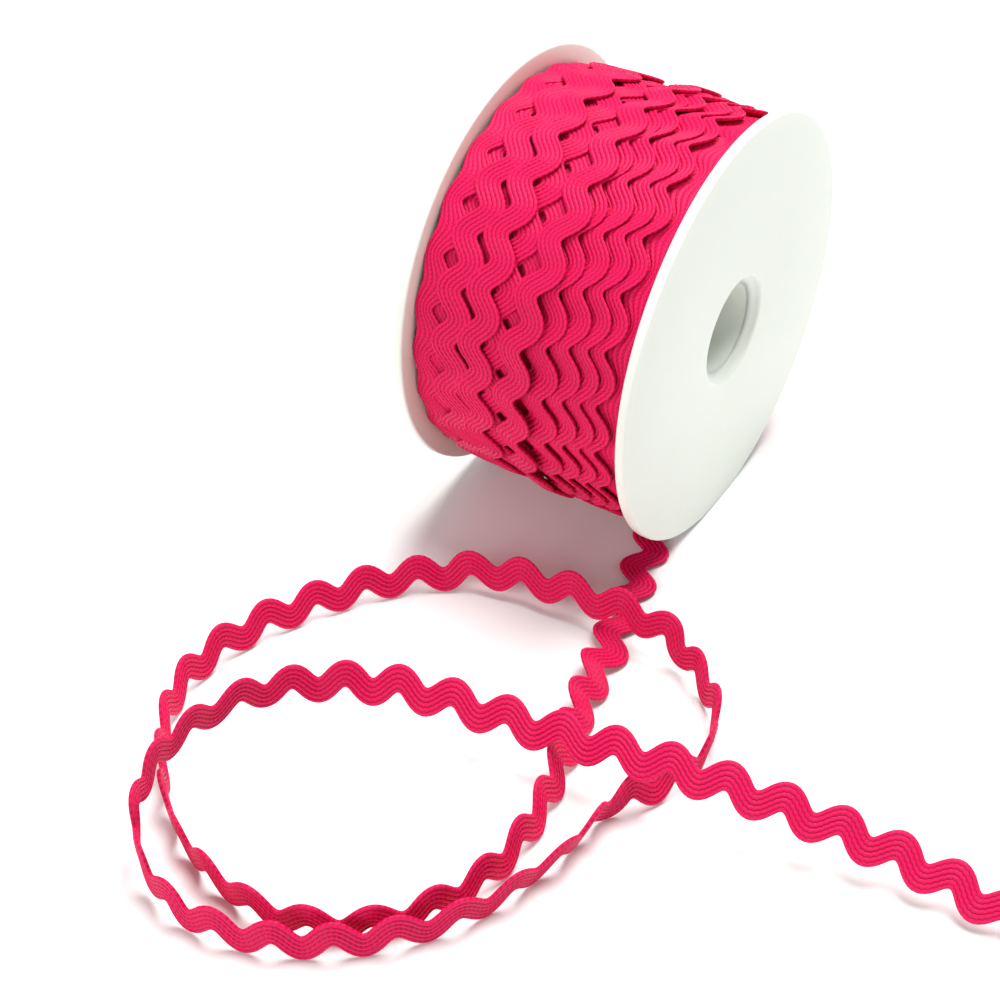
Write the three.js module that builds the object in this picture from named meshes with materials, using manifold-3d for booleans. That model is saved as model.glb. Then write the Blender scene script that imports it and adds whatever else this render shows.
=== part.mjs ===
// A spool of ric rac: a wavy trimming wound between two plastic discs, with its loose end lying in loops.
// Millimetres, +Z up. The spool's axis runs along X and it stands on the rims of its two discs.

import * as THREE from 'three';
import { mergeVertices } from 'three/addons/utils/BufferGeometryUtils.js';
import Module from 'manifold-3d';

const wasm = await Module();
wasm.setup();

// Spool
const SPOOL_WIDTH = 49.2;
const DISC_RADIUS = 42.5;
const DISC_THICKNESS = 2;
const RIM_ROUNDING = 0.55;
const FLAT_DEPTH = 0.4;
const DISC_SEGMENTS = 80;
const BORE_MOUTH_RADIUS = 10.2;
const BORE_RADIUS = 9;
const BORE_ROUNDING = 0.25;
const TUBE_OUTER_RADIUS = 12;
const TUBE_SEGMENTS = 48;
const GAP = 0.3;

// Ric rac: the strip is as wide as STRIP_WIDTH and sways by WAVE_HEIGHT to each side
const STRIP_WIDTH = 5.35;
const WAVE_HEIGHT = 1.62;
const STRIP_THICKNESS = 1;

// Wound form: its crests stand CREST_START degrees past the top at the middle of the spool and drift back
// by CREST_TILT degrees for each millimetre to the right; its turns wander by WANDER along the axis
const WAVES_ROUND = 24;
const STEPS_A_WAVE = 6;
const WOUND_CLEAR = 0.5;
const SWAY_FADE = 1.6;
const CREST_START = 7.6;
const CREST_TILT = 0.45;
const WANDER = 0.7;
const WANDER_PITCH = 9;

// Wound turns from left to right: left and right edge along the axis, and the radius at each of them
const TURNS = [
  { name: 'next to the left disc', left: -22, right: -17.2, leftRadius: 39.3, rightRadius: 39.5 },
  { name: 'first of a close pair', left: -16.7, right: -11.7, leftRadius: 40, rightRadius: 40.2 },
  { name: 'second of a close pair', left: -11.3, right: -6.1, leftRadius: 40, rightRadius: 40.3 },
  { name: 'seen through the gaps', left: -5.4, right: -1.3, leftRadius: 39, rightRadius: 39 },
  { name: 'proud turn', left: -0.7, right: 4.6, leftRadius: 39.9, rightRadius: 40.6 },
  { name: 'tucked under the proud turn', left: 4.8, right: 7, leftRadius: 39.6, rightRadius: 40.1 },
  { name: 'first lapped turn', left: 7.2, right: 11.4, leftRadius: 39.4, rightRadius: 40.2 },
  { name: 'second lapped turn', left: 11.6, right: 14.6, leftRadius: 39.5, rightRadius: 40.2 },
  { name: 'third lapped turn', left: 14.8, right: 17.6, leftRadius: 39.4, rightRadius: 40 },
  { name: 'next to the right disc', left: 18, right: 22, leftRadius: 39.1, rightRadius: 39.1 },
];
const VALLEY_RADIUS = 38.6;
const VALLEY_LEAST = 0.35;
const VALLEY_SLOPE = 0.1;

// Loose end: where its middle line runs, how far the strip is rolled about it, in degrees from lying flat,
// and how many waves have gone by
const WAVE_LENGTH = 9.75;
const LOOSE_STEPS_A_WAVE = 8;
const ROUTE = [
  { x: 16.5, y: 4, z: 0.95, lean: 0, wave: 0.52 },
  { x: 17.15, y: -8.6, z: 0.72, lean: 0, wave: 1.8 },
  { x: 26.2, y: -45, z: 1.4, lean: -8, wave: 5.64 },
  { x: 29.4, y: -59.2, z: 3.3, lean: -40, wave: 7.12 },
  { x: 32.6, y: -72.2, z: 3.7, lean: -50, wave: 8.7 },
  { x: 36.1, y: -84.6, z: 4.15, lean: -64, wave: 10.2 },
  { x: 38.2, y: -96.4, z: 4.36, lean: -74, wave: 11.48 },
  { x: 37.4, y: -108.8, z: 4.39, lean: -80, wave: 12.72 },
  { x: 32.4, y: -120.6, z: 4.39, lean: -85, wave: 13.98 },
  { x: 23.7, y: -129.4, z: 4.39, lean: -90, wave: 15.16 },
  { x: 12, y: -133.7, z: 4.39, lean: -90, wave: 16.37 },
  { x: 0, y: -132.7, z: 4.39, lean: -93, wave: 17.51 },
  { x: -12, y: -127.9, z: 4.39, lean: -97, wave: 18.86 },
  { x: -22, y: -119.3, z: 4.39, lean: -99, wave: 20.25 },
  { x: -30.5, y: -107, z: 4.39, lean: -99, wave: 21.86 },
  { x: -32.9, y: -94.6, z: 4.39, lean: -100, wave: 23.2 },
  { x: -29.5, y: -80.3, z: 4.39, lean: -103, wave: 24.66 },
  { x: -19.2, y: -62.6, z: 4.39, lean: -103, wave: 26.71 },
  { x: -8.3, y: -51.5, z: 4.4, lean: -103, wave: 28.23 },
  { x: 4.4, y: -46.7, z: 6.2, lean: -103, wave: 29.57 },
  { x: 31.4, y: -45.2, z: 7.8, lean: -105, wave: 32.19 },
  { x: 42.8, y: -47.6, z: 5.2, lean: -99, wave: 33.48 },
  { x: 52.6, y: -56, z: 4.39, lean: -99, wave: 34.9 },
  { x: 55.6, y: -67.5, z: 4.39, lean: -94, wave: 36.16 },
  { x: 51.2, y: -77.3, z: 4.36, lean: -70, wave: 37.32 },
  { x: 46.9, y: -86.7, z: 4.39, lean: -106, wave: 38.45 },
  { x: 46.1, y: -96.6, z: 4.36, lean: -109, wave: 39.57 },
  { x: 40.1, y: -114.9, z: 4.39, lean: -97, wave: 41.42 },
  { x: 29.1, y: -128.9, z: 4.39, lean: -86, wave: 43.09 },
  { x: 14.6, y: -138.3, z: 4.39, lean: -85, wave: 44.83 },
  { x: 0.1, y: -141.1, z: 4.6, lean: -87, wave: 46.33 },
  { x: -11.6, y: -137.4, z: 6.9, lean: -92, wave: 47.72 },
  { x: -18, y: -129, z: 11.6, lean: -92, wave: 49.04 },
  { x: -19.2, y: -115.5, z: 13, lean: -86, wave: 50.58 },
  { x: -13.6, y: -98.9, z: 11.6, lean: -94, wave: 52.32 },
  { x: 2.9, y: -86.2, z: 10.2, lean: -119, wave: 54.54 },
  { x: 29.7, y: -81.3, z: 10.5, lean: -127, wave: 57.22 },
  { x: 61.4, y: -77.5, z: 12.5, lean: -130, wave: 60.38 },
  { x: 92.2, y: -71.2, z: 7, lean: -130, wave: 63.57 },
  { x: 119, y: -71, z: 3.6, lean: -130, wave: 66.3 },
];

const AXIS_HEIGHT = DISC_RADIUS - FLAT_DEPTH;
const INNER_FACE = SPOOL_WIDTH / 2 - DISC_THICKNESS;

const plastic = () => new THREE.MeshStandardMaterial({ color: 0xf1f3ea, roughness: 0.42, metalness: 0 });
const cerise = () => new THREE.MeshStandardMaterial({ color: 0xe8184f, roughness: 0.85, metalness: 0 });

function welded(geometry) {
  geometry.deleteAttribute('normal');
  geometry.deleteAttribute('uv');
  return mergeVertices(geometry, 1e-4);
}

// A profile of radius and place along the axis, spun about the spool's axis, which lies along X
function spun(profile, segments) {
  const points = profile.map(([radius, along]) => new THREE.Vector2(radius, along));
  const geometry = new THREE.LatheGeometry([...points, points[0]], segments);
  geometry.rotateZ(-Math.PI / 2);
  return welded(geometry);
}

function toManifold(geometry) {
  const mesh = new wasm.Mesh({
    numProp: 3,
    vertProperties: new Float32Array(geometry.attributes.position.array),
    triVerts: new Uint32Array(geometry.index.array),
  });
  return new wasm.Manifold(mesh);
}

function fromManifold(solid) {
  const mesh = solid.getMesh();
  const geometry = new THREE.BufferGeometry();
  geometry.setAttribute('position', new THREE.BufferAttribute(mesh.vertProperties, 3));
  geometry.setIndex(new THREE.BufferAttribute(mesh.triVerts, 1));
  return geometry;
}

// An end disc, its bore a little wider at the outer face, with a small flat where it stands
function disc(name, side) {
  const outer = DISC_THICKNESS;
  const edge = DISC_RADIUS - RIM_ROUNDING;
  const profile = [
    [BORE_RADIUS, 0],
    [edge, 0],
    [DISC_RADIUS, RIM_ROUNDING],
    [DISC_RADIUS, outer - RIM_ROUNDING],
    [edge, outer],
    [BORE_MOUTH_RADIUS, outer],
    [BORE_MOUTH_RADIUS - BORE_ROUNDING, outer / 2],
  ];
  const geometry = spun(profile, DISC_SEGMENTS);
  const size = 3 * DISC_RADIUS;
  const keep = new THREE.BoxGeometry(size, size, size);
  keep.translate(0, 0, size / 2 - AXIS_HEIGHT);
  const cut = toManifold(geometry).intersect(toManifold(welded(keep)));
  const mesh = new THREE.Mesh(fromManifold(cut), plastic());
  mesh.name = name;
  mesh.position.set(side * INNER_FACE, 0, AXIS_HEIGHT);
  mesh.rotation.z = side > 0 ? 0 : Math.PI;
  return mesh;
}

function coreTube() {
  const half = INNER_FACE - GAP;
  const profile = [
    [BORE_RADIUS, -half],
    [TUBE_OUTER_RADIUS, -half],
    [TUBE_OUTER_RADIUS, half],
    [BORE_RADIUS, half],
  ];
  const mesh = new THREE.Mesh(spun(profile, TUBE_SEGMENTS), plastic());
  mesh.name = 'core_tube';
  mesh.position.z = AXIS_HEIGHT;
  return mesh;
}

// The wound form is spun from the turns' profile, then every point sways along the axis with the waves
function wound() {
  const half = INNER_FACE - GAP;
  const surface = [[VALLEY_RADIUS, -half]];
  TURNS.forEach((turn, index) => {
    surface.push([turn.leftRadius, turn.left], [turn.rightRadius, turn.right]);
    const next = TURNS[index + 1];
    if (next && next.left - turn.right > VALLEY_LEAST) {
      surface.push([VALLEY_RADIUS, turn.right + VALLEY_SLOPE], [VALLEY_RADIUS, next.left - VALLEY_SLOPE]);
    }
  });
  surface.push([VALLEY_RADIUS, half]);
  const inner = TUBE_OUTER_RADIUS + WOUND_CLEAR;
  const geometry = spun([[inner, -half], ...surface, [inner, half]], WAVES_ROUND * STEPS_A_WAVE);
  const place = geometry.attributes.position;
  for (let i = 0; i < place.count; i += 1) {
    const x = place.getX(i);
    const radius = Math.hypot(place.getY(i), place.getZ(i));
    const turned = Math.atan2(-place.getY(i), place.getZ(i));
    const fromEnd = half - Math.abs(x);
    const share = radius > (inner + VALLEY_RADIUS) / 2 ? THREE.MathUtils.smoothstep(fromEnd, 0, SWAY_FADE) : 0;
    const phase = WAVES_ROUND * (turned + THREE.MathUtils.degToRad(CREST_TILT * x - CREST_START));
    const wander = WANDER * Math.sin(turned + x / WANDER_PITCH);
    place.setX(i, x + share * (WAVE_HEIGHT * Math.cos(phase) + wander));
  }
  const mesh = new THREE.Mesh(geometry, cerise());
  mesh.name = 'wound_ric_rac';
  mesh.position.z = AXIS_HEIGHT;
  return mesh;
}

// The loose end is a long flat box bent along its route, rolled about it and swaying with its waves
function looseEnd() {
  const middle = new THREE.CatmullRomCurve3(
    ROUTE.map((row) => new THREE.Vector3(row.x, row.y, row.z)), false, 'catmullrom', 0.5);
  const turning = new THREE.CatmullRomCurve3(
    ROUTE.map((row) => new THREE.Vector3(row.lean, row.wave, 0)), false, 'catmullrom', 0.5);
  middle.arcLengthDivisions = 200 * ROUTE.length;
  const length = middle.getLength();
  const steps = Math.round(length / WAVE_LENGTH * LOOSE_STEPS_A_WAVE);
  const geometry = new THREE.BoxGeometry(length, STRIP_WIDTH, STRIP_THICKNESS, steps, 1, 1);
  const place = geometry.attributes.position;
  const up = new THREE.Vector3(0, 0, 1);
  const point = new THREE.Vector3();
  for (let i = 0; i < place.count; i += 1) {
    const share = THREE.MathUtils.clamp(place.getX(i) / length + 0.5, 0, 1);
    const at = middle.getUtoTmapping(share);
    const tangent = middle.getTangent(at);
    const level = new THREE.Vector3().crossVectors(up, tangent).normalize();
    const rise = new THREE.Vector3().crossVectors(tangent, level);
    const turn = turning.getPoint(at);
    const lean = THREE.MathUtils.degToRad(turn.x);
    const across = level.clone().multiplyScalar(Math.cos(lean)).addScaledVector(rise, Math.sin(lean));
    const face = new THREE.Vector3().crossVectors(tangent, across);
    const sway = WAVE_HEIGHT * Math.sin(2 * Math.PI * turn.y);
    point.copy(middle.getPoint(at));
    point.addScaledVector(across, place.getY(i) + sway);
    point.addScaledVector(face, place.getZ(i));
    place.setXYZ(i, point.x, point.y, point.z);
  }
  const mesh = new THREE.Mesh(welded(geometry), cerise());
  mesh.name = 'loose_end';
  return mesh;
}

const spool = new THREE.Group();
spool.add(disc('flange_left', -1));
spool.add(disc('flange_right', 1));
spool.add(coreTube());
spool.add(wound());
spool.add(looseEnd());

export default spool;
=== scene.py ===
# %% [markdown]
# # A spool of ric rac
#
# Ric rac is a narrow braid that is pulled into waves as it is made. This one is cerise, about 8.6 mm
# wide over its waves, and wound on a white plastic spool. Its loose end lies in two loops in front of it.
# The construction is loaded first and stays fixed. Everything made here is fitted to it, in metres.

# %% Load the construction
import math

import bmesh
import bpy
import numpy as np
from mathutils import Matrix, Vector


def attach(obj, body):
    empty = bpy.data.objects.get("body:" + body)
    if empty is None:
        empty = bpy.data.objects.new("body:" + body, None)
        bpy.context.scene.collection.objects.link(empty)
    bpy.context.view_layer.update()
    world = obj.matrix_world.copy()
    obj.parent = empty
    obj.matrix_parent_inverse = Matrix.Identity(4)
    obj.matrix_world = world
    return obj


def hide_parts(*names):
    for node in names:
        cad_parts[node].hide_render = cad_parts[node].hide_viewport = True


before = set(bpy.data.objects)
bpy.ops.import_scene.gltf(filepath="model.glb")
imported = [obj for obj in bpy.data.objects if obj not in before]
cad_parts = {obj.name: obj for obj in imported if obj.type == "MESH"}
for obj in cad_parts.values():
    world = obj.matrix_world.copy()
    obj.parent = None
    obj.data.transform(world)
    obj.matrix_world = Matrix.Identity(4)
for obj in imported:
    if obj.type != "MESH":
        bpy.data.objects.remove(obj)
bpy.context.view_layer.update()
MM = 0.001
print("nodes:", sorted(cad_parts))

# %% [markdown]
# ## The camera
#
# The photo is taken from above and a little to the right of the spool, with a fairly long lens, so the
# far disc is only slightly smaller than the near one. The camera is set by the two angles of its view
# and by its distance from the spool's middle, and the lens by how large the spool looks.

# %% Camera
AXIS_HEIGHT = 42.1 * MM
VIEW_TURN = math.radians(31.95)
VIEW_DOWN = math.radians(41.2)
VIEW_DISTANCE = 405 * MM
FOCAL_IN_WIDTHS = 2.095
SPOOL_RIGHT_OF_MIDDLE = 0.121
SPOOL_ABOVE_MIDDLE = 0.2095
SENSOR = 36

toward_camera = Vector((
    math.sin(VIEW_TURN) * math.cos(VIEW_DOWN),
    -math.cos(VIEW_TURN) * math.cos(VIEW_DOWN),
    math.sin(VIEW_DOWN),
))
turn = toward_camera.to_track_quat("Z", "Y").to_matrix()
image_right = turn.col[0]
image_up = turn.col[1]
width_per_length = VIEW_DISTANCE / FOCAL_IN_WIDTHS
eye = Vector((0, 0, AXIS_HEIGHT)) + toward_camera * VIEW_DISTANCE
eye -= image_right * (SPOOL_RIGHT_OF_MIDDLE * width_per_length)
eye -= image_up * (SPOOL_ABOVE_MIDDLE * width_per_length)

lens = bpy.data.cameras.new("camera")
lens.sensor_width = SENSOR
lens.lens = SENSOR * FOCAL_IN_WIDTHS
lens.clip_start = 0.01
lens.clip_end = 20
camera = bpy.data.objects.new("camera", lens)
camera.matrix_world = Matrix.Translation(eye) @ turn.to_4x4()
bpy.context.scene.collection.objects.link(camera)
bpy.context.scene.camera = camera
print("camera at", [round(c, 4) for c in eye])

# %% [markdown]
# ## The section of the braid
#
# Real ric rac is a flat braid with six ribs that follow its waves. It could be a plain ribbon with a
# bump map, but the ribs catch the light and show on its edges, so they are real here. A grid is rolled
# round a flat section: its first side is the width of the braid and its second side runs along it.
# The section is given by two numbers for each point: how far across it lies, from -1 to 1, and how
# far it is lifted from the middle of the braid.

# %% Section
STRIP_WIDTH = 5.35 * MM
WAVE_HEIGHT = 1.62 * MM
STRIP_THICKNESS = 1.0 * MM
RIBS = 6
RIB_HEIGHT = 0.29 * MM
RIB_POWER = 0.6
RIB_SPREAD = 0.985
EDGE_POWER = 3.4
EVEN_SHARE = 0.45
STITCH_LENGTH = 0.82 * MM
LOBE_ROUNDING = 0.24
print("braid in mm:", STRIP_WIDTH / MM, "wide,", STRIP_THICKNESS / MM, "thick, sways by", WAVE_HEIGHT / MM)


def across_and_lift(around, face_share):
    """Where a share of the way round the section lies, with face_share of the points on its outer face.

    The points stand closer together toward the edges: EVEN_SHARE of their spacing is even.
    """
    on_face = around < face_share
    sweep = np.where(on_face, around / face_share * 2 - 1, 1 - (around - face_share) / (1 - face_share) * 2)
    across = EVEN_SHARE * sweep + (1 - EVEN_SHARE) * np.sin(sweep * math.pi / 2)
    edge = np.clip(1 - np.abs(across) ** EDGE_POWER, 0, 1) ** (1 / EDGE_POWER)
    rib = np.abs(np.sin(math.pi * RIBS * (across * RIB_SPREAD + 1) / 2)) ** RIB_POWER
    lift = (STRIP_THICKNESS / 2 - RIB_HEIGHT + RIB_HEIGHT * rib) * edge
    return across, np.where(on_face, lift, -lift)


def link(mesh, name):
    piece = bpy.data.objects.new(name, mesh)
    bpy.context.scene.collection.objects.link(piece)
    return piece


def braid_piece(name, length, steps, round_steps, face_share, place, ends_meet=False):
    """A length of braid: a grid rolled into the section, and place() says where each point goes."""
    shape = bmesh.new()
    shape.loops.layers.uv.new("braid")
    bmesh.ops.create_grid(shape, x_segments=steps, y_segments=round_steps, size=0.5, calc_uvs=True)
    mesh = bpy.data.meshes.new(name)
    shape.to_mesh(mesh)
    shape.free()

    flat = np.empty(len(mesh.vertices) * 3)
    mesh.vertices.foreach_get("co", flat)
    flat = flat.reshape(-1, 3) + 0.5
    across, lift = across_and_lift(np.mod(flat[:, 1], 1), face_share)
    places = place(flat[:, 0] * length, across, lift)
    mesh.vertices.foreach_set("co", places.astype(np.float32).ravel())

    layer = mesh.uv_layers["braid"].data
    spread = np.empty(len(layer) * 2)
    layer.foreach_get("uv", spread)
    spread = spread.reshape(-1, 2)
    corner_across, _ = across_and_lift(np.clip(spread[:, 1], 0, 0.999999), face_share)
    stitches = round(length / STITCH_LENGTH)
    layer.foreach_set("uv", np.stack([spread[:, 0] * stitches, corner_across], 1).astype(np.float32).ravel())

    shape = bmesh.new()
    shape.from_mesh(mesh)
    bmesh.ops.remove_doubles(shape, verts=shape.verts, dist=1e-7)
    if not ends_meet:
        rims = [edge for edge in shape.edges if edge.is_boundary]
        bmesh.ops.holes_fill(shape, edges=rims, sides=0)
    bmesh.ops.recalc_face_normals(shape, faces=shape.faces)
    for face in shape.faces:
        face.smooth = True
    shape.to_mesh(mesh)
    shape.free()
    return link(mesh, name)


# %% [markdown]
# ## The loose end
#
# The loose end is the braid lying free: it comes out from under the roll, runs flat along the surface,
# then stands up on its edge in two loops and crosses over itself on its way out to the right. A cloth
# simulation would not find this exact lie again, so the route is listed point by point, as one would lay
# it on a table. Each point of the route has a place, a lean (0 degrees is flat and 90 either way is on
# edge) and the count of waves up to it, since a braid that is bent and pulled has waves of uneven length.

# %% Route of the loose end
WAVE_LENGTH = 9.75 * MM
# x, y and z in metres, the lean in degrees, and the waves gone by
ROUTE = [
    (0.0165, 0.004, 0.00095, 0, 0.52),
    (0.01715, -0.0086, 0.00072, 0, 1.8),
    (0.0262, -0.045, 0.0014, -8, 5.64),
    (0.0294, -0.0592, 0.0033, -40, 7.12),
    (0.0326, -0.0722, 0.0037, -50, 8.7),
    (0.0361, -0.0846, 0.00415, -64, 10.2),
    (0.0382, -0.0964, 0.00436, -74, 11.48),
    (0.0374, -0.1088, 0.00439, -80, 12.72),
    (0.0324, -0.1206, 0.00439, -85, 13.98),
    (0.0237, -0.1294, 0.00439, -90, 15.16),
    (0.012, -0.1337, 0.00439, -90, 16.37),
    (0, -0.1327, 0.00439, -93, 17.51),
    (-0.012, -0.1279, 0.00439, -97, 18.86),
    (-0.022, -0.1193, 0.00439, -99, 20.25),
    (-0.0305, -0.107, 0.00439, -99, 21.86),
    (-0.0329, -0.0946, 0.00439, -100, 23.2),
    (-0.0295, -0.0803, 0.00439, -103, 24.66),
    (-0.0192, -0.0626, 0.00439, -103, 26.71),
    (-0.0083, -0.0515, 0.0044, -103, 28.23),
    (0.0044, -0.0467, 0.0062, -103, 29.57),
    (0.0314, -0.0452, 0.0078, -105, 32.19),
    (0.0428, -0.0476, 0.0052, -99, 33.48),
    (0.0526, -0.056, 0.00439, -99, 34.9),
    (0.0556, -0.0675, 0.00439, -94, 36.16),
    (0.0512, -0.0773, 0.00436, -70, 37.32),
    (0.0469, -0.0867, 0.00439, -106, 38.45),
    (0.0461, -0.0966, 0.00436, -109, 39.57),
    (0.0401, -0.1149, 0.00439, -97, 41.42),
    (0.0291, -0.1289, 0.00439, -86, 43.09),
    (0.0146, -0.1383, 0.00439, -85, 44.83),
    (0.0001, -0.1411, 0.0046, -87, 46.33),
    (-0.0116, -0.1374, 0.0069, -92, 47.72),
    (-0.018, -0.129, 0.0116, -92, 49.04),
    (-0.0192, -0.1155, 0.013, -86, 50.58),
    (-0.0136, -0.0989, 0.0116, -94, 52.32),
    (0.0029, -0.0862, 0.0102, -119, 54.54),
    (0.0297, -0.0813, 0.0105, -127, 57.22),
    (0.0614, -0.0775, 0.0125, -130, 60.38),
    (0.0922, -0.0712, 0.007, -130, 63.57),
    (0.119, -0.071, 0.0036, -130, 66.3),
]


def smooth_line(points, samples):
    """A curve that passes through all the points, sampled evenly between each two of them."""
    points = np.array(points, float)
    padded = np.vstack([2 * points[0] - points[1], points, 2 * points[-1] - points[-2]])
    at = np.linspace(0, len(points) - 1, (len(points) - 1) * samples + 1)
    start = np.minimum(at.astype(int), len(points) - 2)
    t = (at - start)[:, None]
    before, here, there, after = (padded[start + k] for k in range(4))
    leaving, arriving = (there - before) / 2, (after - here) / 2
    cubic = (2 * here - 2 * there + leaving + arriving) * t**3
    return cubic + (3 * there - 3 * here - 2 * leaving - arriving) * t**2 + leaving * t + here


route = smooth_line(ROUTE, 120)
gone = np.r_[0, np.cumsum(np.linalg.norm(np.diff(route[:, :3], axis=0), axis=1))]
loose_length = float(gone[-1])
print("loose end:", round(loose_length, 4), "m,", round(loose_length / WAVE_LENGTH, 1), "waves")

# %% [markdown]
# ## Bending the braid
#
# The braid could be an array of one wave with a Curve modifier, but every wave of the real one has its
# own length and lean. So each point of the flat section is placed by its distance along the route: the
# lean turns the section about the route, and the waves push it sideways within its own width.

# %% Bend the braid along its route
LOOSE_STEPS_A_WAVE = 17
LOOSE_ROUND_STEPS = 60


def on_route(distance, columns):
    return np.stack([np.interp(distance, gone, route[:, k]) for k in columns], 1)


def unit(vectors):
    return vectors / np.linalg.norm(vectors, axis=1)[:, None]


def lay_loose(distance, across, lift):
    """The braid follows the route, leans up from the surface and sways with its waves.

    Each point is pulled back along the braid on the outside of a bend and forward on the inside, which
    makes the outer lobes round and the notches between them narrow.
    """
    reach = 0.25 * MM
    waves = 2 * math.pi * on_route(distance, (4,))[:, 0]
    gained = on_route(distance + reach, (4,)) - on_route(distance - reach, (4,))
    pace = 2 * math.pi * gained[:, 0] / (2 * reach)
    slope = WAVE_HEIGHT * pace * np.cos(waves)
    pulled = LOBE_ROUNDING * across * STRIP_WIDTH / 2 * slope
    ahead = on_route(distance + reach, (0, 1, 2))
    behind = on_route(distance - reach, (0, 1, 2))
    tangent = unit(ahead - behind)
    level = unit(np.cross([0, 0, 1], tangent))
    rise = np.cross(tangent, level)
    lean = np.radians(on_route(distance, (3,)))
    width_way = np.cos(lean) * level + np.sin(lean) * rise
    face_way = np.cross(tangent, width_way)
    middle = on_route(distance, (0, 1, 2)) - tangent * pulled[:, None]
    sideways = WAVE_HEIGHT * np.sin(waves) + across * STRIP_WIDTH / 2
    return middle + width_way * sideways[:, None] + face_way * lift[:, None]


loose_steps = round(loose_length / WAVE_LENGTH * LOOSE_STEPS_A_WAVE)
loose_end = braid_piece("loose_braid", loose_length, loose_steps, LOOSE_ROUND_STEPS, 0.5, lay_loose)
print("loose braid:", len(loose_end.data.polygons), "faces, lowest point",
      round(min(v.co.z for v in loose_end.data.vertices) / MM, 3), "mm")
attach(loose_end, "root")
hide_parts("loose_end")

# %% [markdown]
# ## The wound turns
#
# The roll is many passes of the same braid. Only the top passes are seen, and what lies below shows
# through small lens-shaped gaps. Each pass is one ring of braid here, with 24 waves round it, because
# a full spiral would add faces where nobody looks. Every ring has its own place along the spool, its
# own start for its waves and its own tilt, so some sit proud and lap over their neighbours.

# %% Rings of braid
WAVES_ROUND = 24
WOUND_STEPS_A_WAVE = 16
WOUND_WIDTH = 5.35 * MM
WOUND_WAVE = 1.6 * MM
DISC_INNER_FACE = 22.6 * MM
BETWEEN_DISCS = DISC_INNER_FACE - 0.15 * MM


def round_the_roll(angle, stops):
    """A value that changes smoothly round the roll between the stops, which are (degrees, value)."""
    degrees = np.mod(np.degrees(angle), 360)
    stops = sorted(stops)
    turns = [stops[-1][0] - 360] + [s[0] for s in stops] + [stops[0][0] + 360]
    values = [stops[-1][1]] + [s[1] for s in stops] + [stops[0][1]]
    result = np.zeros_like(degrees)
    for k in range(len(turns) - 1):
        inside = (degrees >= turns[k]) & (degrees <= turns[k + 1])
        share = (degrees - turns[k]) / (turns[k + 1] - turns[k])
        eased = share * share * (3 - 2 * share)
        result = np.where(inside, values[k] + (values[k + 1] - values[k]) * eased, result)
    return result


def ring_of_braid(name, centre, crest, left_radius, right_radius, drift=((0, 0),), rise=((0, 0),),
                  held=0, round_steps=44, face_share=0.8):
    """One pass round the roll. Angles run from the top towards the camera; lengths are in millimetres.

    A pass beside a disc is held straight by it: held is -1 where its left edge is straight, 1 where its
    right one is, and nearer 0 for a looser hold.
    """
    circle = 2 * math.pi * (left_radius + right_radius) / 2 * MM

    def place(distance, across, lift):
        angle = distance / circle * 2 * math.pi
        phase = WAVES_ROUND * (angle - math.radians(crest))
        height = WOUND_WAVE * (1 - held * across) / (1 + abs(held))
        middle = (centre + round_the_roll(angle, drift)) * MM
        along = middle + height * np.cos(phase) + across * WOUND_WIDTH / 2
        along = np.clip(along, -BETWEEN_DISCS, BETWEEN_DISCS)
        radius = (left_radius + (right_radius - left_radius) * (across + 1) / 2) * MM
        radius = radius + round_the_roll(angle, rise) * MM + lift
        slope = -height * 2 * math.pi * WAVES_ROUND / circle * np.sin(phase)
        angle = angle - LOBE_ROUNDING * across * WOUND_WIDTH / 2 * slope / radius
        return np.stack([along, -np.sin(angle) * radius, AXIS_HEIGHT + np.cos(angle) * radius], 1)

    steps = WAVES_ROUND * WOUND_STEPS_A_WAVE
    piece = braid_piece(name, circle, steps, round_steps, face_share, place, ends_meet=True)
    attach(piece, "root")
    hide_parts("wound_ric_rac")
    return piece


# %% [markdown]
# ## Which pass lies where
#
# The passes are read from the photo from left to right: two at the left lie side by side with slits
# between them, one stands proud in the middle, and those at the right lap over each other like tiles,
# because the right edge of each is higher than its left one. A crest is the angle where a wave reaches
# furthest right, so two passes whose crests differ by half a wave leave a lens between them.

# %% Top passes, from left to right
TOP_PASSES = [
    dict(name="pass_at_left_disc", centre=-19.6, crest=5.5, left_radius=38.7, right_radius=39.1, held=-0.6,
         rise=((0, -0.3), (50, 0.4), (100, -0.4), (220, 0))),
    dict(name="pass_pair_left", centre=-13.8, crest=13.0, left_radius=39.8, right_radius=39.8,
         drift=((0, 0.6), (60, -0.4), (110, 0.9), (230, 0))),
    dict(name="pass_pair_right", centre=-8.4, crest=10.0, left_radius=39.8, right_radius=40.1,
         drift=((0, -1.2), (30, 0.2), (100, 0), (230, 0.3))),
    dict(name="pass_in_gap", centre=-5.2, crest=1.4, left_radius=39.1, right_radius=39.1),
    dict(name="pass_proud", centre=2.1, crest=7.3, left_radius=39.6, right_radius=40.9,
         drift=((0, -0.2), (35, 0.2), (90, -2.4), (180, -1.0), (280, 0))),
    dict(name="pass_tucked", centre=4.4, crest=4.6, left_radius=38.7, right_radius=40.1,
         drift=((0, -0.8), (60, 0.2), (100, 1.0), (220, 0))),
    dict(name="pass_lapped_1", centre=8.7, crest=2.2, left_radius=38.5, right_radius=40.3,
         drift=((0, -2.4), (35, 0), (90, 0.8), (220, -0.4))),
    dict(name="pass_lapped_2", centre=12.5, crest=0.8, left_radius=38.5, right_radius=40.3,
         drift=((0, -1.4), (35, 0), (90, 0.6), (220, 0))),
    dict(name="pass_lapped_3", centre=15.7, crest=0.0, left_radius=38.5, right_radius=40.2,
         drift=((0, -2.0), (35, 0), (90, 0.5), (220, 0))),
    dict(name="pass_at_right_disc", centre=19.6, crest=14.0, left_radius=38.4, right_radius=39.0, held=1),
]
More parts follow.
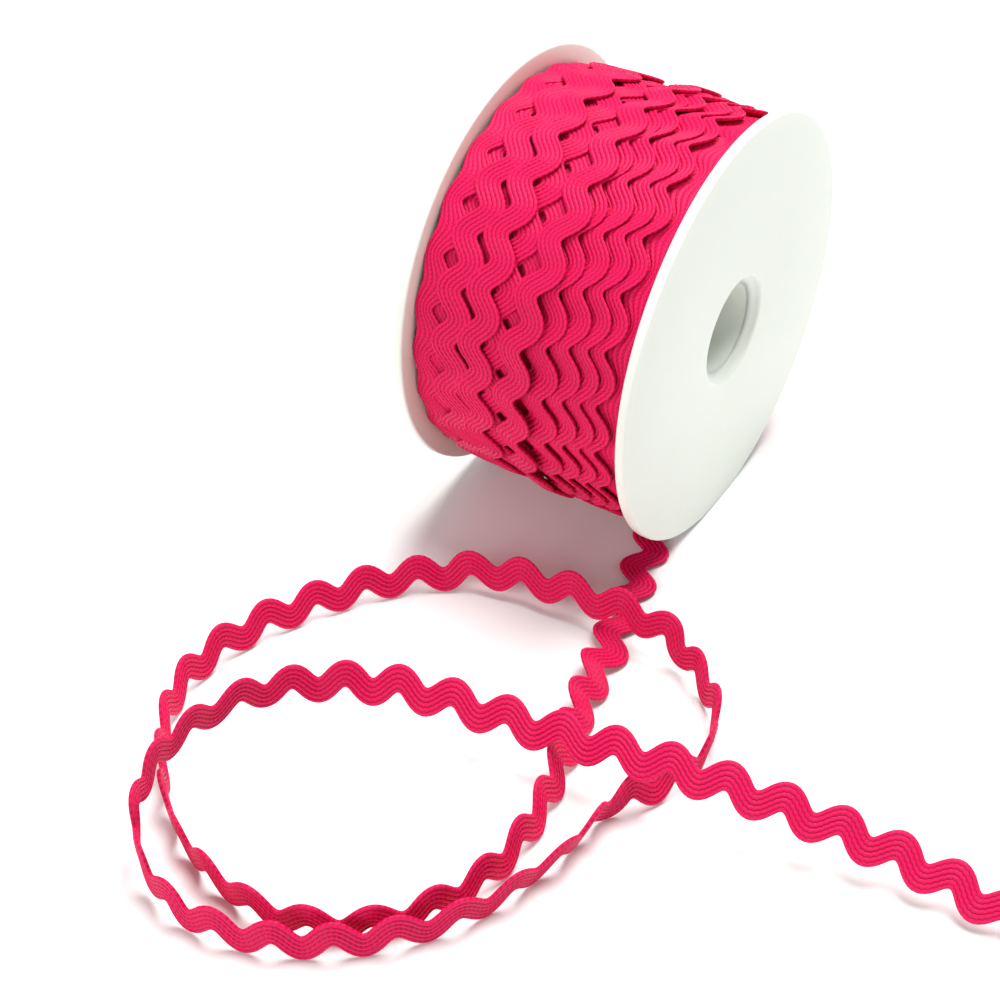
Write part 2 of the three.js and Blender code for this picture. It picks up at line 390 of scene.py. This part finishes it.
passes = [ring_of_braid(**row) for row in TOP_PASSES]
print("top passes:", len(passes), "with", sum(len(p.data.polygons) for p in passes), "faces")

# %% [markdown]
# ## What shows in the gaps
#
# A lens between two passes shows more braid below, not darkness. These lower passes are seen only in
# such gaps, so they have fewer points on their section. Those at the left lie right below the gaps.

# %% Passes below, seen through the gaps
LOWER_RADIUS = 38.4
LOWER_CENTRES = [-16.9, -11.6, -6.4, -1.4, 3.6, 8.6, 13.6, 18.6]
lower = []
for number, centre in enumerate(LOWER_CENTRES):
    lower.append(ring_of_braid(
        f"lower_pass_{number + 1}", centre, 4.0 + 6.5 * (number % 2), LOWER_RADIUS, LOWER_RADIUS,
        round_steps=30, face_share=0.86))
print("lower passes:", len(lower))

# %% [markdown]
# ## The body of the roll
#
# Under the passes lies the rest of the wound braid. Hardly any of it can be seen, and then only as the
# dark bottom of a gap, so a plain ring of cloth is enough: a rectangle spun round the spool's axis. It
# has no braid map, so the braid's colour comes out as its darker groove red: painted shade for the gaps.

# %% Body of the roll
BODY_RADIUS = 37.9 * MM
BODY_INSIDE = 12.5 * MM
BODY_SEGMENTS = 96


def spin_round_axis(name, profile, segments):
    """Spin a closed outline of (radius, place along the axis) round the spool's axis."""
    shape = bmesh.new()
    ring = [shape.verts.new((along, 0, AXIS_HEIGHT + radius)) for radius, along in profile]
    edges = [shape.edges.new((ring[k], ring[(k + 1) % len(ring)])) for k in range(len(ring))]
    bmesh.ops.spin(shape, geom=ring + edges, cent=(0, 0, AXIS_HEIGHT), axis=(1, 0, 0),
                   angle=2 * math.pi, steps=segments, use_merge=True)
    bmesh.ops.remove_doubles(shape, verts=shape.verts, dist=1e-7)
    bmesh.ops.recalc_face_normals(shape, faces=shape.faces)
    mesh = bpy.data.meshes.new(name)
    shape.to_mesh(mesh)
    shape.free()
    return link(mesh, name)


body_half = BETWEEN_DISCS - 0.1 * MM
body = spin_round_axis("roll_body", [
    (BODY_INSIDE, -body_half), (BODY_RADIUS, -body_half), (BODY_RADIUS, body_half), (BODY_INSIDE, body_half),
], BODY_SEGMENTS)
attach(body, "root")
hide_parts("wound_ric_rac")
print("body of the roll:", len(body.data.polygons), "faces, radius", round(BODY_RADIUS / MM, 1), "mm")

# %% [markdown]
# ## The spool
#
# The discs are moulded in white plastic. Their rims are rounded and the mouth of the bore is a small
# countersink that runs down to the tube's end, which is what makes the pale ring round the bore. The
# construction holds them with few faces, so they are spun again here with a fine outline and bevelled
# corners, each in the place of its solid, with the same small flat to stand on.

# %% Discs and core
DISC_RADIUS = 42.5 * MM
DISC_THICKNESS = 2.0 * MM
BORE_MOUTH = 10.9 * MM
BORE_STEP = 10.5 * MM
BORE = 8.75 * MM
TUBE_RADIUS = 12.0 * MM
DISC_SEGMENTS = 192
TUBE_SEGMENTS = 96
DISC_ROUNDING = 0.5 * MM
TUBE_ROUNDING = 0.02 * MM
SEAM = 0.01 * MM


def bevel_sharp(piece, width, segments, least_radius=0, least_angle=25):
    """Bevel the sharp edges, save those that lie nearer the axis than least_radius."""
    shape = bmesh.new()
    shape.from_mesh(piece.data)
    sharp = [e for e in shape.edges if len(e.link_faces) == 2
             and e.calc_face_angle(0) > math.radians(least_angle)
             and math.hypot(e.verts[0].co.y, e.verts[0].co.z - AXIS_HEIGHT) > least_radius]
    bmesh.ops.bevel(shape, geom=sharp, offset=width, offset_type="OFFSET", affect="EDGES",
                    segments=segments, profile=0.5, material=-1, clamp_overlap=True)
    bmesh.ops.recalc_face_normals(shape, faces=shape.faces)
    for face in shape.faces:
        face.smooth = True
    shape.to_mesh(piece.data)
    shape.free()


def stand_flat(piece):
    for vertex in piece.data.vertices:
        vertex.co.z = max(vertex.co.z, 0)


def make_disc(name, node, side):
    inner = DISC_INNER_FACE * side
    outer = (DISC_INNER_FACE + DISC_THICKNESS) * side
    middle = (inner + outer) / 2
    disc = spin_round_axis(name, [
        (BORE, inner), (DISC_RADIUS, inner), (DISC_RADIUS, outer), (BORE_MOUTH, outer), (BORE_STEP, middle),
    ], DISC_SEGMENTS)
    bevel_sharp(disc, DISC_ROUNDING, 4, least_radius=(BORE + BORE_STEP) / 2)
    stand_flat(disc)
    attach(disc, "root")
    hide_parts(node)
    return disc


right_disc = make_disc("disc_right", "flange_right", 1)
left_disc = make_disc("disc_left", "flange_left", -1)
core_half = DISC_INNER_FACE - SEAM
core = spin_round_axis("core", [
    (BORE, -core_half), (TUBE_RADIUS, -core_half), (TUBE_RADIUS, core_half), (BORE, core_half),
], TUBE_SEGMENTS)
bevel_sharp(core, TUBE_ROUNDING, 2)
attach(core, "root")
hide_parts("core_tube")
print("spool:", [(piece.name, len(piece.data.polygons)) for piece in (left_disc, core, right_disc)])

# %% [markdown]
# ## Shader sums
#
# Shader maths reads best as plain sums. This small class wraps a socket and turns Python's signs into
# Math nodes, and one method adds any other node.

# %% Socket wrapper


class Socket:
    def __init__(self, tree, socket):
        self.tree = tree
        self.socket = socket

    @staticmethod
    def node(tree, kind, settings=None, output=0, **inputs):
        made = tree.nodes.new(kind)
        for key, value in (settings or {}).items():
            setattr(made, key, value)
        for key, value in inputs.items():
            slot = made.inputs[int(key[1:])] if key[0] == "_" else made.inputs[key.replace("_", " ")]
            if isinstance(value, Socket):
                tree.links.new(value.socket, slot)
            else:
                slot.default_value = value
        return Socket(tree, made.outputs[output])

    def math(self, operation, other=None, swap=False):
        pair = (other, self) if swap else (self, other)
        inputs = {f"_{k}": value for k, value in enumerate(pair) if value is not None}
        return Socket.node(self.tree, "ShaderNodeMath", {"operation": operation}, **inputs)

    def __add__(self, other):
        return self.math("ADD", other)

    __radd__ = __add__

    def __mul__(self, other):
        return self.math("MULTIPLY", other)

    __rmul__ = __mul__

    def __sub__(self, other):
        return self.math("SUBTRACT", other)

    def __rsub__(self, other):
        return self.math("SUBTRACT", other, swap=True)

    def __pow__(self, other):
        return self.math("POWER", other)


def new_material(name):
    material = bpy.data.materials.new(name)
    material.use_nodes = True
    tree = material.node_tree
    shader = tree.nodes["Principled BSDF"]
    return material, tree, shader


# %% [markdown]
# ## The braid's yarn
#
# Each rib is a row of slanting stitches, and neighbouring ribs slant opposite ways. The stitches sit
# on the ribs as a fine bump. The shade that falls in the hollows between the ribs and between the
# stitches is painted into the colour as a deeper red, which makes the rows of small dark marks along
# the braid. The pattern runs on the braid's own map, so it follows every wave. Polyester yarn has a
# soft sheen and hardly any gloss.

# %% Braid material
braid, tree, shader = new_material("cerise_braid")
uv = Socket.node(tree, "ShaderNodeUVMap", {"uv_map": "braid"})
parts = tree.nodes.new("ShaderNodeSeparateXYZ")
tree.links.new(uv.socket, parts.inputs[0])
stitch_place = Socket(tree, parts.outputs[0])
across_place = Socket(tree, parts.outputs[1])

# The next two numbers darken the colour in the stitch gaps and in the grooves between the ribs: painted
# shade for the hollows.
STITCH_SLANT = 0.55
DOT_PAINTED_SHADE = 0.85
GROOVE_PAINTED_SHADE = 0.14

rib_place = (across_place * RIB_SPREAD + 1) * (RIBS / 2)
in_rib = rib_place.math("FRACT") - 0.5
odd = (rib_place * 0.5).math("FRACT").math("GREATER_THAN", 0.5)
slant = in_rib * (odd * 2 - 1)
stitch_angle = (stitch_place + slant * STITCH_SLANT + odd * 0.5) * (2 * math.pi)
stitch = stitch_angle.math("COSINE") * 0.5 + 0.5
rib_round = 1 - (in_rib * 2).math("ABSOLUTE") ** 2.4
# Painted shade in the gaps between stitches, strongest in the grooves.
painted_dot_shade = (1 - stitch) ** 1.5 * (1 - rib_round) ** 0.5

object_place = Socket.node(tree, "ShaderNodeTexCoord", output=3)
fuzz = Socket.node(tree, "ShaderNodeTexNoise", Vector=object_place, Scale=5200.0, Detail=3.0)
patch = Socket.node(tree, "ShaderNodeTexNoise", Vector=object_place, Scale=160.0, Detail=2.0)
# Painted shade in the gaps and grooves, plus random tone from two noises.
shade = 1 - painted_dot_shade * DOT_PAINTED_SHADE - (1 - rib_round) * GROOVE_PAINTED_SHADE + (fuzz - 0.5) * 0.16 + (patch - 0.5) * 0.12
shade = Socket.node(tree, "ShaderNodeClamp", _0=shade, _1=0.0, _2=1.0)
# The colour runs from a dark red for the painted shade to the braid's own cerise.
yarn = Socket.node(tree, "ShaderNodeMix", {"data_type": "RGBA"}, output=2,
                   _0=shade, _6=(0.28, 0.0, 0.022, 1), _7=(0.76, 0.002, 0.092, 1))
tree.links.new(yarn.socket, shader.inputs["Base Color"])
height = rib_round * 0.6 + stitch * 0.26 + (fuzz - 0.5) * 0.2
bump = Socket.node(tree, "ShaderNodeBump", Strength=0.85, Distance=0.00016, Height=height)
tree.links.new(bump.socket, shader.inputs["Normal"])
shader.inputs["Roughness"].default_value = 0.58
shader.inputs["Specular IOR Level"].default_value = 0.22
shader.inputs["Sheen Weight"].default_value = 0.06
shader.inputs["Sheen Roughness"].default_value = 0.42
shader.inputs["Sheen Tint"].default_value = (1.0, 0.32, 0.5, 1)
# The body of the roll has no braid map, so the pattern paints it in the darker groove red: painted shade for
# the bottoms of the gaps.
braided = [loose_end, body, *passes, *lower]
for piece in braided:
    piece.data.materials.append(braid)
print("braid material:", len(tree.nodes), "nodes, on", len(braided), "pieces")

# %% [markdown]
# ## The spool's plastic
#
# The discs are a slightly warm white with a satin skin: matt enough to hide the light's shape, with
# very fine grain, faint waviness and a few soft scuffs. Thin white plastic lets a little light in, so
# it takes a touch of light below its surface.

# %% Plastic material
plastic, tree, shader = new_material("white_plastic")
object_place = Socket.node(tree, "ShaderNodeTexCoord", output=3)
clouds = Socket.node(tree, "ShaderNodeTexNoise", Vector=object_place, Scale=60.0, Detail=3.0)
grain = Socket.node(tree, "ShaderNodeTexNoise", Vector=object_place, Scale=2600.0, Detail=2.0)
tone = Socket.node(tree, "ShaderNodeMix", {"data_type": "RGBA"}, output=2,
                   _0=clouds, _6=(0.765, 0.79, 0.72, 1), _7=(0.81, 0.835, 0.77, 1))
tree.links.new(tone.socket, shader.inputs["Base Color"])
rough = 0.40 + (clouds - 0.5) * 0.12 + (grain - 0.5) * 0.08
tree.links.new(rough.socket, shader.inputs["Roughness"])
skin = Socket.node(tree, "ShaderNodeBump", Strength=0.25, Distance=0.0001, Height=grain * 0.3 + clouds)
tree.links.new(skin.socket, shader.inputs["Normal"])
shader.inputs["Specular IOR Level"].default_value = 0.45
shader.inputs["Subsurface Weight"].default_value = 0.25
shader.inputs["Subsurface Scale"].default_value = 0.002
shader.inputs["Subsurface Radius"].default_value = (1.0, 0.8, 0.7)
for piece in [right_disc, left_disc, core]:
    piece.data.materials.append(plastic)
print("plastic material:", len(tree.nodes), "nodes")

# %% [markdown]
# ## Floor and light
#
# The photo is taken on a white sweep under a large soft light that stands behind and above, with
# plenty of fill. The floor comes out nearly white and the shadows are pale and soft.

# %% Floor and light
FLOOR_REACH = 3
FLOOR_DROP = -0.0001
floor_shape = bmesh.new()
bmesh.ops.create_grid(floor_shape, x_segments=1, y_segments=1, size=FLOOR_REACH)
floor_mesh = bpy.data.meshes.new("floor")
floor_shape.to_mesh(floor_mesh)
floor_shape.free()
floor = link(floor_mesh, "floor")
floor.location.z = FLOOR_DROP
paper, tree, shader = new_material("paper")
shader.inputs["Base Color"].default_value = (0.88, 0.895, 0.885, 1)
shader.inputs["Roughness"].default_value = 0.9
shader.inputs["Specular IOR Level"].default_value = 0.1
floor.data.materials.append(paper)


def soft_light(name, place, target, size, power):
    lamp = bpy.data.lights.new(name, "AREA")
    lamp.shape = "DISK"
    lamp.size = size
    lamp.energy = power
    light = bpy.data.objects.new(name, lamp)
    light.location = place
    light.rotation_euler = (Vector(target) - Vector(place)).to_track_quat("-Z", "Y").to_euler()
    bpy.context.scene.collection.objects.link(light)
    return light


lights = [
    soft_light("key", (0.04, 0.44, 1.45), (0, -0.05, 0.02), 1.05, 36),
    soft_light("front", (-0.3, -1.2, 0.6), (0, -0.03, 0.04), 0.8, 8.5),
    soft_light("right", (1.1, -0.6, 0.3), (0, -0.05, 0.03), 0.9, 0.2),
]
print("lights:", [light.name for light in lights])
world = bpy.data.worlds.new("studio")
world.use_nodes = True
world.node_tree.nodes["Background"].inputs["Color"].default_value = (0.97, 1.0, 1.0, 1)
world.node_tree.nodes["Background"].inputs["Strength"].default_value = 0.3
bpy.context.scene.world = world
bpy.context.scene.view_settings.view_transform = "Standard"
